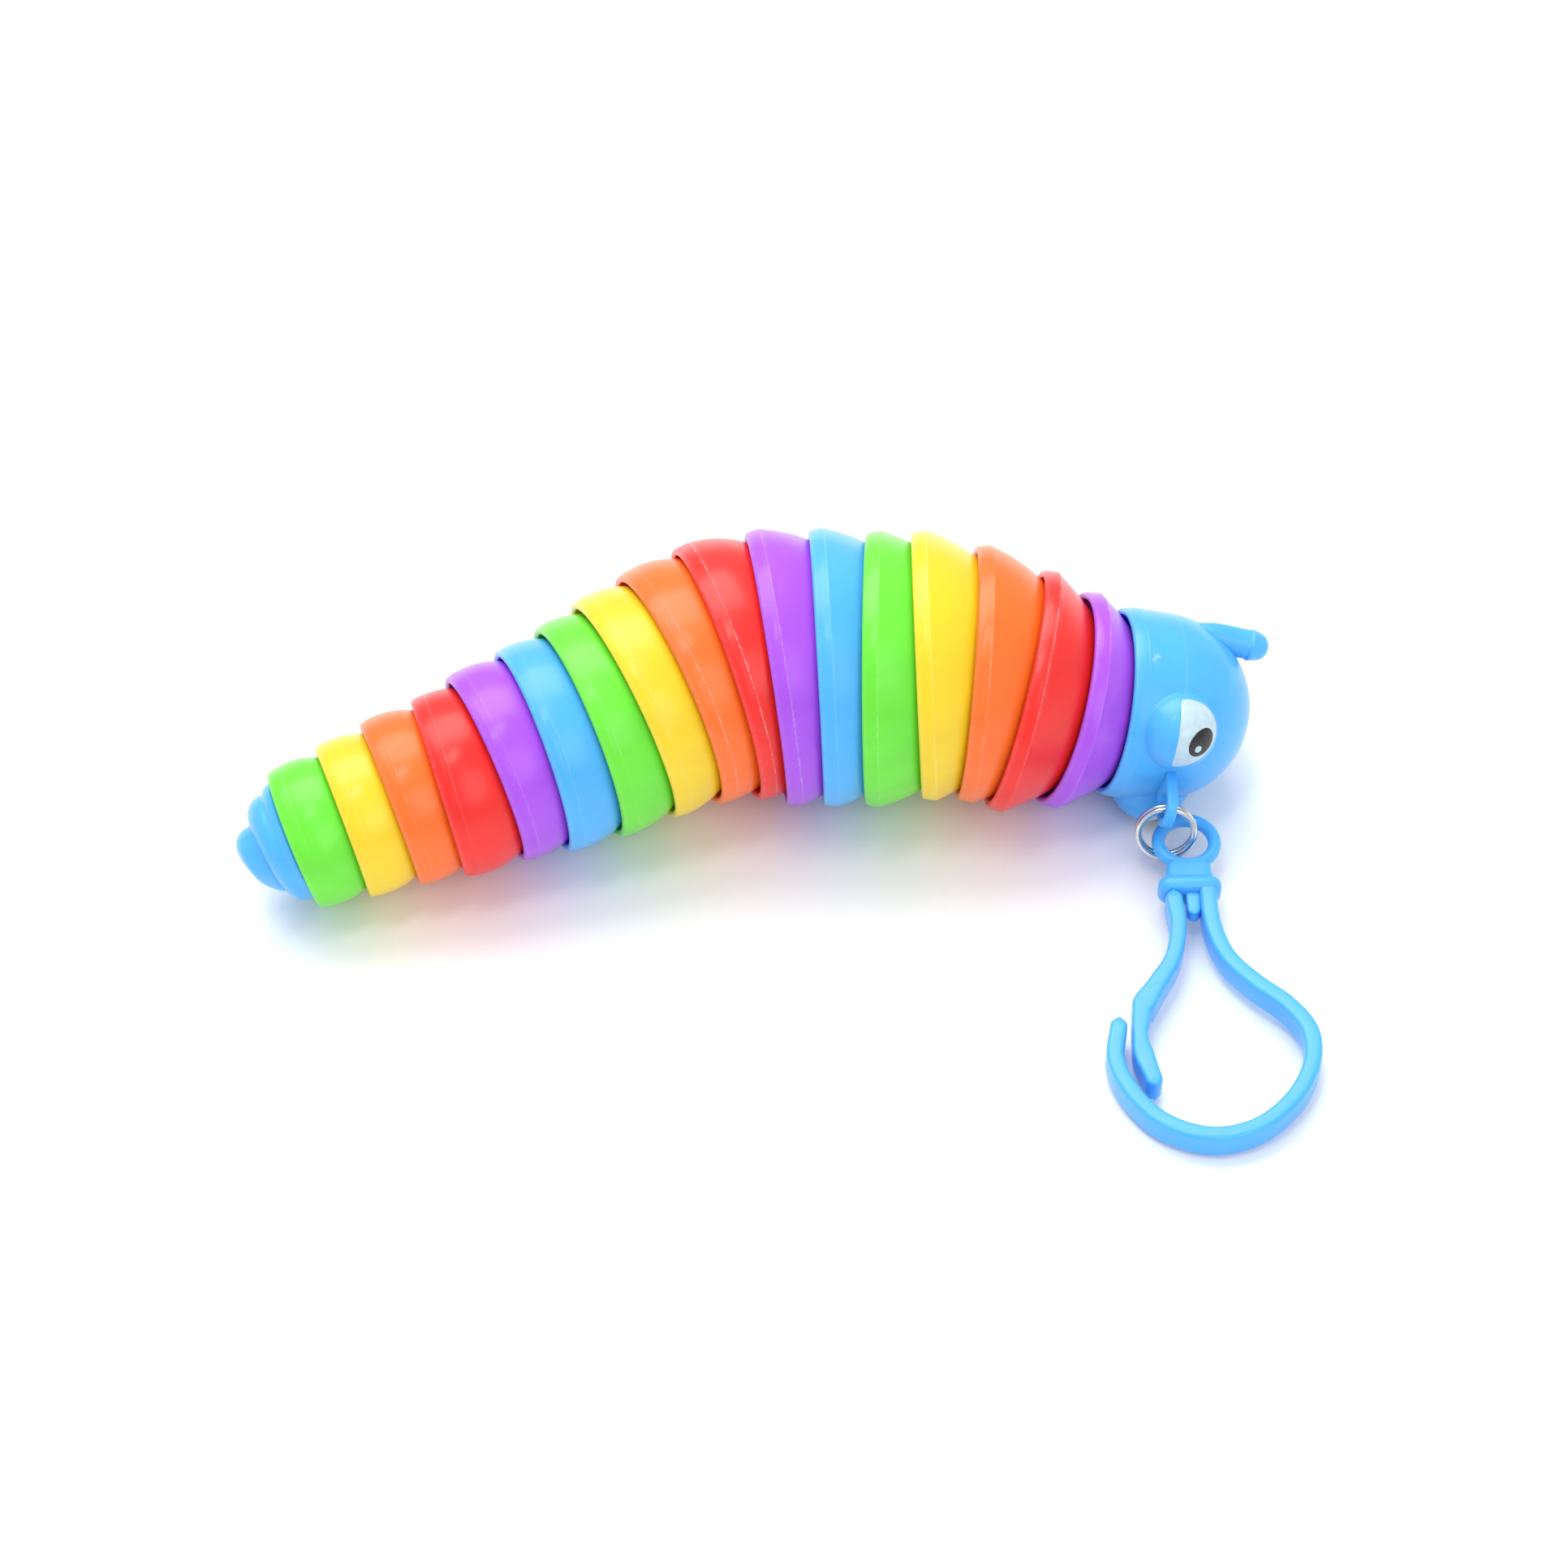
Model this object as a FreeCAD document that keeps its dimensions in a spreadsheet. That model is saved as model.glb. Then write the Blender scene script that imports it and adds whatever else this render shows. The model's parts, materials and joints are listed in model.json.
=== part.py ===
"""Jointed rainbow slug on a plastic snap hook: tail, seventeen ring segments, head, split ring and hook.

Every segment is a thin cup that opens toward the tail.  A ball on a stem reaches back from each cup
into the socket of the cup behind it, so the chain bends while each lip slides over its neighbour's dome.
The slug lies on its side on a level surface (z = 0); the chain runs along +X, tail first.
"""
import FreeCAD, Part
import math
import os
import Sketcher
from FreeCAD import Placement, Rotation, Vector

os.makedirs("parts", exist_ok=True)
doc = FreeCAD.newDocument("jointed_slug")

COLOURS = ("green", "yellow", "orange", "red", "purple", "blue")
RING_COUNT = 17
HEAD = RING_COUNT + 1

# Radius of each open rim, tail to head (the first is the swirl's skirt, the last the head's rim).
RIM_RADII = (7.3, 8.1, 8.9, 9.6, 10.3, 11.1, 11.9, 12.6, 13.3, 14.0, 14.9, 15.5, 15.5, 15.3, 15.0, 14.3,
             13.7, 12.2, 10.6)
# How far each ball joint lets the next cup swing from straight.
SWING_LIMITS = (12, 12, 12, 12, 13, 13, 13, 13, 13, 13, 13, 13, 12, 12, 11, 12, 11, 11)
# Direction of each piece's axis as the slug lies: turn about the vertical, then rise toward the head.
YAW = (16, 17, 19.5, 19.5, 16, 24, 22, 24, 26, 25.5, 19.5, 8, 2.5, -2, 0.5, -2, -7, -1, 2.5)
RISE = (16, 13.5, 9, 9.5, 8.5, 8, 5.5, 6.5, 9.5, 8, 7, 4.5, 2, 2, 3, -4, -12, -16, -12)

SIZES = {
    # chain of cups
    "pitch": 5.65,            # rim to rim along the axis
    "nose_depth": 0.8,        # thickness of the rounded lip
    "shell_wall": 0.9,
    "parting_x": 1.7,         # mould parting line, where a cup is widest
    "flare": 0.2,             # how much wider the cup is there than at its lip
    "lip_gap": 0.35,          # clear gap between a dome and the next lip
    "swing_gap": 0.25,        # the same gap at the end of the swing
    "end_wall": 1.0,
    "end_step": 1.4,          # radial depth of the closed part of a cup's narrow end
    # ball joints
    "ball_radius": 1.5,
    "ball_fit": 0.08,
    "socket_wall": 0.7,
    "stem_radius": 0.75,
    "mouth_depth": 1.0,       # how far ahead of its centre a socket is open
    "funnel_start": 1.9,
    "funnel_knee": 3.9,
    "funnel_knee_x": 4.7,
    "funnel_wall": 0.75,
    # tail swirl
    "tail_length": 0.6,       # from the tip to the skirt's own rim plane
    # head
    "head_length": 16.0,
    "head_shoulder_x": 6.5,
    "head_shoulder": 10.6,
    "head_floor_x": 8.0,
    "eye_radius": 4.5,
    "eye_x": 6.0,
    "eye_reach": 8.65,
    "eye_spread": 40.0,
    "head_roll": -9.0,        # direction of the slug's back, measured from level
    "horn_radius": 1.75,
    "horn_x": 7.0,
    "horn_reach": 9.2,
    "horn_length": 8.2,
    "horn_spread": 129.0,
    "horn_tip": 1.85,
    "tab_x": 6.0,
    "tab_thick": 1.2,
    "tab_radius": 2.4,
    "tab_reach": 13.4,
    "tab_hole": 1.5,
    # split ring
    "split_radius": 3.15,
    "split_hang": 0.35,       # how far below the middle of the hole the ring hangs
    "split_lean": 16.0,       # how far the ring leans out from the head as it rests
    "split_wire": 0.36,
    "split_step": 0.33,       # half the distance between the two coils
    # snap hook
    "hook_thick": 3.3,
    "eye_wire": 0.75,
    "eye_ring": 3.15,
    "eye_shift": 0.8,
    "neck_width": 5.5,
    "neck_thick": 2.4,
    "collar_width": 7.0,
    "collar_thick": 3.8,
    "collar_y": -5.7,
    "collar_high": 2.0,
    "gate_gap": 0.15,
    "hook_tilt": 2.8,         # the hook leans down from the split ring to the table
    "gate_limit": 8.0,
    "hinge_play": 0.05,
}


def joint_x(index):
    """Place of a cup's socket along its own axis: it sits further back in the larger cups."""
    if index == 0:
        return 2.2
    return max(-3.0, 1.0 - 0.022 * index ** 2)


sheet = doc.addObject("Spreadsheet::Sheet", "Sizes")


def fill_sheet():
    """Write every driving size into the sheet under its own name."""
    cells = dict(SIZES)
    for index, radius in enumerate(RIM_RADII):
        cells["rim_%02d" % index] = radius
        cells["socket_x_%02d" % index] = round(joint_x(index), 3)
    for index, limit in enumerate(SWING_LIMITS):
        cells["swing_%02d" % index] = limit
    for row, (alias, value) in enumerate(cells.items(), start=1):
        sheet.set("A%d" % row, alias)
        sheet.set("B%d" % row, "%g" % value)
        sheet.setAlias("B%d" % row, alias)
    doc.recompute()
    return cells


size = fill_sheet()


def origin_plane(body, role):
    """The body's own origin plane with this role."""
    return next(item for item in body.Origin.OriginFeatures if item.Role == role)


def new_body(label):
    """An empty body named after its piece."""
    body = doc.addObject("PartDesign::Body", label)
    body.Label = label
    return body


def section_sketch(body, name):
    """A sketch whose first axis is the piece's own axis and whose second is the radius."""
    sketch = body.newObject("Sketcher::SketchObject", name)
    sketch.AttachmentSupport = [(origin_plane(body, "XZ_Plane"), "")]
    sketch.MapMode = "FlatFace"
    return sketch


def evaluate(text):
    """Value of a formula over the sheet."""
    return float(sheet.evalExpression(text))


class Outline:
    """A closed outline of lines and arcs whose corners are bound to sheet formulas."""

    def __init__(self, sketch):
        self.sketch = sketch
        self.corners = []
        self.held = {}
        self.last = None

    def point(self, pair):
        return Vector(evaluate(pair[0]), evaluate(pair[1]), 0)

    def bind(self, kind, arguments, text):
        """Add one driving constraint and bind it to its formula."""
        number = self.sketch.addConstraint(Sketcher.Constraint(kind, *arguments, evaluate(text)))
        self.sketch.setExpression("Constraints[%d]" % number, text)

    def hold(self, index, position, pair):
        """Pin an edge's end to its corner, or to the edge that already ends there."""
        if pair in self.held:
            self.sketch.addConstraint(Sketcher.Constraint("Coincident", index, position, *self.held[pair]))
            return
        self.held[pair] = (index, position)
        self.bind("DistanceX", (-1, 1, index, position), pair[0])
        if pair[1] == "0":
            self.sketch.addConstraint(Sketcher.Constraint("PointOnObject", index, position, -1))
        else:
            self.bind("DistanceY", (-1, 1, index, position), pair[1])

    def line(self, start, end):
        """A straight edge between two corners."""
        index = self.sketch.addGeometry(Part.LineSegment(self.point(start), self.point(end)), False)
        self.hold(index, 1, start)
        self.hold(index, 2, end)

    def arc(self, start, via, end, radius=None):
        """An arc between two corners, fixed by its radius or else by the point it passes through."""
        first, middle, last = self.point(start), self.point(via), self.point(end)
        if (middle - first).cross(last - middle).z < 0:
            start, end = end, start
            first, last = last, first
        circle = Part.Circle(first, middle, last)
        begin = math.atan2(first.y - circle.Center.y, first.x - circle.Center.x)
        finish = math.atan2(last.y - circle.Center.y, last.x - circle.Center.x)
        level = Part.Circle(circle.Center, Vector(0, 0, 1), circle.Radius)
        index = self.sketch.addGeometry(Part.ArcOfCircle(level, begin, finish), False)
        self.hold(index, 1, start)
        self.hold(index, 2, end)
        if radius is not None:
            self.bind("Radius", (index,), radius)
            return
        mark = self.sketch.addGeometry(Part.Point(self.point(via)), True)
        self.bind("DistanceX", (-1, 1, mark, 1), via[0])
        self.bind("DistanceY", (-1, 1, mark, 1), via[1])
        self.sketch.addConstraint(Sketcher.Constraint("PointOnObject", mark, 1, index))


def turned(body, sketch):
    """Turn a body's sketch fully about the piece's axis."""
    turn = body.newObject("PartDesign::Revolution", body.Name + "_turn")
    turn.Profile = sketch
    turn.ReferenceAxis = (sketch, ["H_Axis"])
    turn.Angle = 360.0
    sketch.Visibility = False
    return turn


def cup_end(index):
    """Formulas of a cup's narrow end, just inside the path that the next lip sweeps."""
    words = {"i": "%02d" % index, "n": "%02d" % (index + 1)}
    reach = "(Sizes.pitch - Sizes.socket_x_%(i)s)" % words
    lip = "(Sizes.rim_%(n)s - Sizes.nose_depth)" % words
    words.update(reach=reach, lip=lip)
    end_x = "Sizes.socket_x_%(i)s + %(reach)s * cos(Sizes.swing_%(i)s) + %(lip)s * sin(Sizes.swing_%(i)s)"
    end_r = "%(lip)s * cos(Sizes.swing_%(i)s) - %(reach)s * sin(Sizes.swing_%(i)s) - Sizes.swing_gap"
    return end_x % words, end_r % words, lip


def socket_outline(outline, index, end_hole):
    """Draw the funnel from a cup's hole down into its socket; returns the socket's floor corner."""
    here = "Sizes.socket_x_%02d" % index
    knee = (here + " + Sizes.funnel_knee_x", "Sizes.funnel_knee")
    start = (here + " + Sizes.mouth_depth", "Sizes.funnel_start")
    bore = "(Sizes.ball_radius + Sizes.ball_fit)"
    mouth = (here + " + Sizes.mouth_depth", "sqrt(%s ^ 2 - Sizes.mouth_depth ^ 2)" % bore)
    floor = ("%s - %s" % (here, bore), "0")
    outline.line(end_hole, knee)
    outline.line(knee, start)
    outline.line(start, mouth)
    outline.arc(mouth, ("%s - %s * 0.6" % (here, bore), "%s * 0.8" % bore), floor, bore)
    return floor


def ball_outline(outline, index, floor, ball_x, last):
    """Draw the ball, its stem and the socket's outside, from the floor to the corner given."""
    here = "Sizes.socket_x_%02d" % index
    outer = "(Sizes.ball_radius + Sizes.ball_fit + Sizes.socket_wall)"
    tip = (ball_x + " - Sizes.ball_radius", "0")
    neck = (ball_x + " + sqrt(Sizes.ball_radius ^ 2 - Sizes.stem_radius ^ 2)", "Sizes.stem_radius")
    root = ("%s - sqrt(%s ^ 2 - Sizes.stem_radius ^ 2)" % (here, outer), "Sizes.stem_radius")
    outline.line(floor, tip)
    outline.arc(tip, (ball_x, "Sizes.ball_radius"), neck, "Sizes.ball_radius")
    outline.line(neck, root)
    outline.arc(root, ("%s - %s * 0.6" % (here, outer), "%s * 0.8" % outer), last, outer)


def make_ring(index, label):
    """One ring segment: lip, dome, funnel, socket, stem and ball in a single turned section."""
    body = new_body(label)
    sketch = section_sketch(body, label + "_section")
    outline = Outline(sketch)
    rim = "Sizes.rim_%02d" % index
    here = "Sizes.socket_x_%02d" % index
    end_x, end_r, lip = cup_end(index)
    outer = "(Sizes.ball_radius + Sizes.ball_fit + Sizes.socket_wall)"
    lip_inside = ("Sizes.nose_depth / 2", rim + " - Sizes.nose_depth")
    lip_outside = ("Sizes.nose_depth / 2", rim)
    widest = ("Sizes.parting_x", rim + " + Sizes.flare")
    dome_end = (end_x, end_r)
    hole = (end_x, end_r + " - Sizes.end_step")
    shoulder = (here + " + 0.3", "sqrt(%s ^ 2 - 0.09)" % outer)
    knee = (here + " + Sizes.funnel_knee_x", "Sizes.funnel_knee + Sizes.funnel_wall")
    wall_low = (end_x + " - Sizes.end_wall", end_r + " - Sizes.end_step + 0.5")
    wall_high = (end_x + " - Sizes.end_wall", end_r + " - 0.45")
    step = lip + " - Sizes.lip_gap"
    inside = ("Sizes.pitch - 1",
              "%s + 0.33 * (%s + Sizes.flare - (%s)) - Sizes.shell_wall * 1.05" % (step, rim, step))
    outline.arc(lip_inside, ("0", rim + " - Sizes.nose_depth / 2"), lip_outside)
    outline.line(lip_outside, widest)
    outline.arc(widest, ("Sizes.pitch", step), dome_end)
    outline.line(dome_end, hole)
    floor = socket_outline(outline, index, hole)
    ball_x = "(Sizes.socket_x_%02d - Sizes.pitch)" % (index - 1)
    ball_outline(outline, index, floor, ball_x, shoulder)
    outline.line(shoulder, knee)
    outline.line(knee, wall_low)
    outline.line(wall_low, wall_high)
    outline.arc(wall_high, inside, lip_inside)
    turned(body, sketch)
    return body


def make_tail(label):
    """The swirl: stacked rounded coils over a skirt, with the first ring's socket in its base."""
    body = new_body(label)
    sketch = section_sketch(body, label + "_section")
    outline = Outline(sketch)
    end_x, end_r, lip = cup_end(0)
    back = "(0 - Sizes.tail_length)"
    tip = (back, "0")
    flat = (back, "Sizes.rim_00 * 0.13")
    first = (back + " + 2.0", "Sizes.rim_00 * 0.47")
    second = (back + " + 4.0", "Sizes.rim_00 * 0.80")
    skirt = ("Sizes.pitch", lip + " - Sizes.lip_gap")
    dome_end = (end_x, end_r)
    hole = (end_x, end_r + " - Sizes.end_step")
    outline.line(tip, flat)
    outline.arc(flat, (back + " + 0.5", "Sizes.rim_00 * 0.33"), first)
    outline.arc(first, (back + " + 2.8", "Sizes.rim_00 * 0.71"), second)
    outline.arc(second, (back + " + 5.0", "Sizes.rim_00 * 0.93"), skirt)
    outline.line(skirt, dome_end)
    outline.line(dome_end, hole)
    floor = socket_outline(outline, 0, hole)
    outline.line(floor, tip)
    turned(body, sketch)
    return body


def around(angle, reach, x):
    """Point on the head: x along its axis, then out by reach in the direction of the angle."""
    turn = math.radians(angle)
    return Vector(x, -reach * math.cos(turn), reach * math.sin(turn))


def primitive(body, kind, name, place, sizes):
    """Add a PartDesign primitive, bind its sizes to the sheet and place it."""
    item = body.newObject("PartDesign::" + kind, name)
    for key, text in sizes.items():
        item.setExpression(key, text)
    item.Placement = place
    return item


def make_head(label):
    """The head: a domed cup with a post and ball inside, two eye bulges, two horns and a loop tab."""
    body = new_body(label)
    sketch = section_sketch(body, label + "_section")
    outline = Outline(sketch)
    rim = "Sizes.rim_%02d" % HEAD
    ball_x = "(Sizes.socket_x_%02d - Sizes.pitch)" % (HEAD - 1)
    lip_inside = ("Sizes.nose_depth / 2", rim + " - Sizes.nose_depth")
    lip_outside = ("Sizes.nose_depth / 2", rim)
    widest = ("Sizes.parting_x", rim + " + Sizes.flare")
    shoulder = ("Sizes.head_shoulder_x", "Sizes.head_shoulder")
    nose = ("Sizes.head_length", "0")
    run = "(Sizes.head_length - Sizes.head_shoulder_x)"
    curve = "((%s ^ 2 + Sizes.head_shoulder ^ 2) / (2 * %s))" % (run, run)
    tip = (ball_x + " - Sizes.ball_radius", "0")
    neck = (ball_x + " + sqrt(Sizes.ball_radius ^ 2 - Sizes.stem_radius ^ 2)", "Sizes.stem_radius")
    root = ("0 - Sizes.parting_x", "Sizes.stem_radius * 1.2")
    post = ("Sizes.nose_depth / 2", "Sizes.stem_radius * 1.6")
    outline.arc(lip_inside, ("0", rim + " - Sizes.nose_depth / 2"), lip_outside)
    outline.line(lip_outside, widest)
    outline.line(widest, shoulder)
    outline.arc(shoulder, ("Sizes.head_length - %s * 0.2929" % curve, "%s * 0.7071" % curve), nose, curve)
    outline.line(nose, tip)
    outline.arc(tip, (ball_x, "Sizes.ball_radius"), neck, "Sizes.ball_radius")
    outline.line(neck, root)
    outline.line(root, post)
    outline.line(post, lip_inside)
    turned(body, sketch)

    roll = size["head_roll"]
    for side in (-1, 1):
        centre = around(roll + side * size["eye_spread"], size["eye_reach"], size["eye_x"])
        primitive(body, "AdditiveSphere", "eye_bulge_%d" % (side + 1), Placement(centre, Rotation()),
                  {"Radius": "Sizes.eye_radius"})
        spread = roll + side * size["horn_spread"]
        start = around(spread, size["horn_reach"], size["horn_x"])
        inward = around(spread, -1.0, 0.0) * math.sin(math.radians(6))
        forward = Vector(math.cos(math.radians(6)), 0, 0) + inward
        lean = Rotation(Vector(0, 0, 1), forward)
        primitive(body, "AdditiveCylinder", "horn_%d" % (side + 1), Placement(start, lean),
                  {"Radius": "Sizes.horn_radius", "Height": "Sizes.horn_length"})
        end = start + forward * size["horn_length"]
        primitive(body, "AdditiveSphere", "horn_tip_%d" % (side + 1), Placement(end, lean),
                  {"Radius": "Sizes.horn_tip"})

    upright = Rotation(Vector(1, 0, 0), 180 - roll)
    flat = Rotation(Vector(0, 0, 1), Vector(1, 0, 0))
    hole_centre = around(roll, size["tab_reach"], size["tab_x"] - size["tab_thick"] / 2)
    primitive(body, "AdditiveCylinder", "tab_end", Placement(hole_centre, flat),
              {"Radius": "Sizes.tab_radius", "Height": "Sizes.tab_thick"})
    corner = upright.multVec(Vector(0, 0, -size["tab_radius"]))
    inner = around(roll, size["head_shoulder"] - 1.0, size["tab_x"] - size["tab_thick"] / 2)
    primitive(body, "AdditiveBox", "tab_plate", Placement(inner + corner, upright),
              {"Length": "Sizes.tab_thick", "Width": "Sizes.tab_reach - Sizes.head_shoulder + 1",
               "Height": "Sizes.tab_radius * 2"})
    primitive(body, "SubtractiveCylinder", "tab_hole",
              Placement(around(roll, size["tab_reach"], size["tab_x"] - 2), flat),
              {"Radius": "Sizes.tab_hole", "Height": "4"})
    doc.recompute()

    hollow = section_sketch(body, label + "_hollow")
    inside = Outline(hollow)
    mouth = ("0 - Sizes.nose_depth", rim + " - Sizes.nose_depth")
    bay = ("Sizes.head_shoulder_x", "Sizes.head_shoulder - Sizes.shell_wall * 1.3")
    shell = "(%s - Sizes.shell_wall * 1.3)" % curve
    middle = "(Sizes.head_length - %s)" % curve
    post_top = ("%s + sqrt(%s ^ 2 - (Sizes.stem_radius * 3.4) ^ 2)" % (middle, shell), "Sizes.stem_radius * 3.4")
    post_low = ("0 - Sizes.nose_depth", "Sizes.stem_radius * 1.8")
    inside.line(mouth, lip_inside)
    inside.line(lip_inside, bay)
    inside.arc(bay, ("%s + %s * 0.7071" % (middle, shell), "%s * 0.7071" % shell), post_top)
    inside.line(post_top, post_low)
    inside.line(post_low, mouth)
    before = body.Shape.Volume
    groove = body.newObject("PartDesign::Groove", label + "_inside")
    groove.Profile = hollow
    groove.ReferenceAxis = (hollow, ["H_Axis"])
    groove.Angle = 360.0
    hollow.Visibility = False
    doc.recompute()
    if body.Shape.Volume > before - 100:
        raise RuntimeError("the head was not hollowed")
    return body


# Middle lines of the snap hook's two arms, from the collar to the tip, measured from the middle of its eye.
HOOK_LINE = ((1.9, -7.3), (2.2, -12.2), (3.6, -16.7), (6.5, -20.3), (9.8, -23.3), (12.0, -26.9), (11.9, -31.3),
             (9.6, -35.9), (5.6, -39.5), (0.6, -40.7), (-4.4, -38.9), (-7.7, -35.1), (-9.3, -30.7),
             (-9.2, -28.1))
GATE_LINE = ((-1.9, -8.8), (-1.6, -12.5), (-2.4, -16.9), (-4.5, -20.7), (-6.4, -24.3), (-6.7, -28.1),
             (-6.0, -31.3), (-5.4, -33.7))


def strip_outline(sketch, middles, widths):
    """Draw a strip of changing width along a smooth line, with round ends."""
    line = Part.BSplineCurve()
    line.interpolate([Vector(x, y, 0) for x, y in middles])
    left, right = [], []
    for (x, y), width in zip(middles, widths):
        place = Vector(x, y, 0)
        along = Vector(*line.tangent(line.parameter(place))[0])
        across = Vector(-along.y, along.x, 0) * (width / 2)
        left.append(place + across)
        right.append(place - across)
    for points in (left, right):
        side = Part.BSplineCurve()
        side.interpolate(points)
        sketch.addGeometry(side, False)
    for end, first in ((0, left[0]), (-1, right[-1])):
        centre = Vector(*middles[end], 0)
        start = math.atan2(first.y - centre.y, first.x - centre.x)
        cap = Part.Circle(centre, Vector(0, 0, 1), widths[end] / 2)
        sketch.addGeometry(Part.ArcOfCircle(cap, start, start + math.pi), False)


def strip(body, name, middles, widths, rounding):
    """Pad a strip evenly about the middle plane and round its long edges."""
    sketch = body.newObject("Sketcher::SketchObject", name + "_outline")
    sketch.AttachmentSupport = [(origin_plane(body, "XY_Plane"), "")]
    sketch.MapMode = "FlatFace"
    strip_outline(sketch, middles, widths)
    pad = body.newObject("PartDesign::Pad", name + "_pad")
    pad.Profile = sketch
    pad.Midplane = True
    pad.setExpression("Length", "Sizes.hook_thick")
    sketch.Visibility = False
    doc.recompute()
    return round_edges(body, pad, size["hook_thick"] / 2, rounding)


def round_edges(body, feature, height, radius):
    """Fillet every edge of a feature that lies in one of its two flat faces."""
    names = []
    for number, edge in enumerate(feature.Shape.Edges, start=1):
        box = edge.BoundBox
        if box.ZLength < 0.01 and abs(abs(box.ZMax) - height) < 0.01:
            names.append("Edge%d" % number)
    fillet = body.newObject("PartDesign::Fillet", feature.Label + "_round")
    fillet.Base = (feature, names)
    fillet.Radius = radius
    doc.recompute()
    return fillet


def make_hook(label):
    """The snap hook's fixed part: eye, neck, collar, and the long arm that bends round to the tip."""
    body = new_body(label)
    widths = [1.9] * 3 + [2.0] * 3 + [1.9] * 6 + [1.8, 1.6]
    strip(body, "long_arm", HOOK_LINE, widths, 0.45)
    primitive(body, "AdditiveTorus", "eye", Placement(),
              {"Radius1": "Sizes.eye_ring", "Radius2": "Sizes.eye_wire"})
    neck_low = size["collar_y"] - 0.5
    primitive(body, "AdditiveBox", "neck",
              Placement(Vector(-size["neck_width"] / 2, neck_low, -size["neck_thick"] / 2), Rotation()),
              {"Length": "Sizes.neck_width", "Width": "0 - Sizes.eye_ring + 0.1 - (%s)" % neck_low,
               "Height": "Sizes.neck_thick"})
    primitive(body, "AdditiveBox", "web",
              Placement(Vector(-0.45, -10.0, -0.9), Rotation()), {"Length": "1.8", "Width": "3", "Height": "1.8"})
    collar_low = size["collar_y"] - size["collar_high"]
    collar = primitive(body, "AdditiveBox", "collar",
                       Placement(Vector(-size["collar_width"] / 2 - 0.1, collar_low, -size["collar_thick"] / 2),
                                 Rotation()),
                       {"Length": "Sizes.collar_width", "Width": "Sizes.collar_high",
                        "Height": "Sizes.collar_thick"})
    doc.recompute()
    edges = []
    for number, edge in enumerate(collar.Shape.Edges, start=1):
        box = edge.BoundBox
        along = box.XLength < 0.01 and box.ZLength < 0.01
        corner = abs(abs(box.ZMax) - size["collar_thick"] / 2) < 0.01
        if along and corner:
            edges.append("Edge%d" % number)
    fillet = body.newObject("PartDesign::Fillet", "collar_round")
    fillet.Base = (collar, edges)
    fillet.Radius = 1.2
    doc.recompute()
    return body


def make_gate(label):
    """The snap hook's sprung gate: a strip from the collar to a tip that rests inside the hook's end."""
    body = new_body(label)
    strip(body, "gate_arm", GATE_LINE, [1.9, 1.8, 1.8, 2.0, 1.9, 1.7, 1.7, 1.6], 0.4)
    return body


def make_split_ring(label):
    """Two joined turns of wire, hanging from the origin in the upright plane of the x axis."""
    turns = []
    for side in (-1, 1):
        turn = doc.addObject("Part::Torus", "turn_%d" % (side + 1))
        turn.setExpression("Radius1", "Sizes.split_radius")
        turn.setExpression("Radius2", "Sizes.split_wire")
        middle = Vector(0, side * size["split_step"], -size["split_radius"])
        turn.Placement = Placement(middle, Rotation(Vector(1, 0, 0), 90))
        turn.Visibility = False
        turns.append(turn)
    ring = doc.addObject("Part::Fuse", label)
    ring.Label = label
    ring.Base, ring.Tool = turns
    doc.recompute()
    return ring


def axes_of(index):
    """Turn of a piece in the assembly, from its bearing in the table plane and its rise."""
    bearing = Rotation(Vector(0, 0, 1), YAW[index])
    return bearing.multiply(Rotation(Vector(0, 1, 0), -RISE[index]))


def chain_places():
    """Placements of the tail, the rings and the head, each hung on the socket of the one before."""
    places = [Placement(Vector(0, 0, 0), axes_of(0))]
    for index in range(1, HEAD + 1):
        before = places[-1]
        socket = before.multVec(Vector(size["socket_x_%02d" % (index - 1)], 0, 0))
        turn = axes_of(index)
        reach = size["pitch"] - size["socket_x_%02d" % (index - 1)]
        places.append(Placement(socket + turn.multVec(Vector(reach, 0, 0)), turn))
    return places


def make_pieces():
    """Every piece of the slug, tail first, then the ring and the two parts of the hook."""
    pieces = [make_tail("tail_blue")]
    for index in range(1, RING_COUNT + 1):
        pieces.append(make_ring(index, "ring_%02d_%s" % (index, COLOURS[(index - 1) % len(COLOURS)])))
    pieces.append(make_head("head_blue"))
    return pieces, make_split_ring("split_ring"), make_hook("clip"), make_gate("clip_gate")


def hang_places(head):
    """Placements of the split ring in the head's tab, and of the hook on the split ring's low side."""
    hole = head.multVec(around(size["head_roll"], size["tab_reach"], size["tab_x"]))
    hole = hole - Vector(0, 0, size["split_hang"])
    wire_reach = size["split_radius"] - size["split_step"] - size["split_wire"] - size["hinge_play"] - size["eye_wire"]
    drop = size["split_radius"] + math.sqrt(wire_reach ** 2 - size["eye_shift"] ** 2)
    lean = Rotation(Vector(1, 0, 0), -size["split_lean"])
    eye = hole + lean.multVec(Vector(size["eye_ring"] - size["eye_shift"], 0, -drop))
    tilt = Rotation(Vector(1, 0, 0), size["hook_tilt"])
    return Placement(hole, lean), Placement(eye, tilt)


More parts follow.
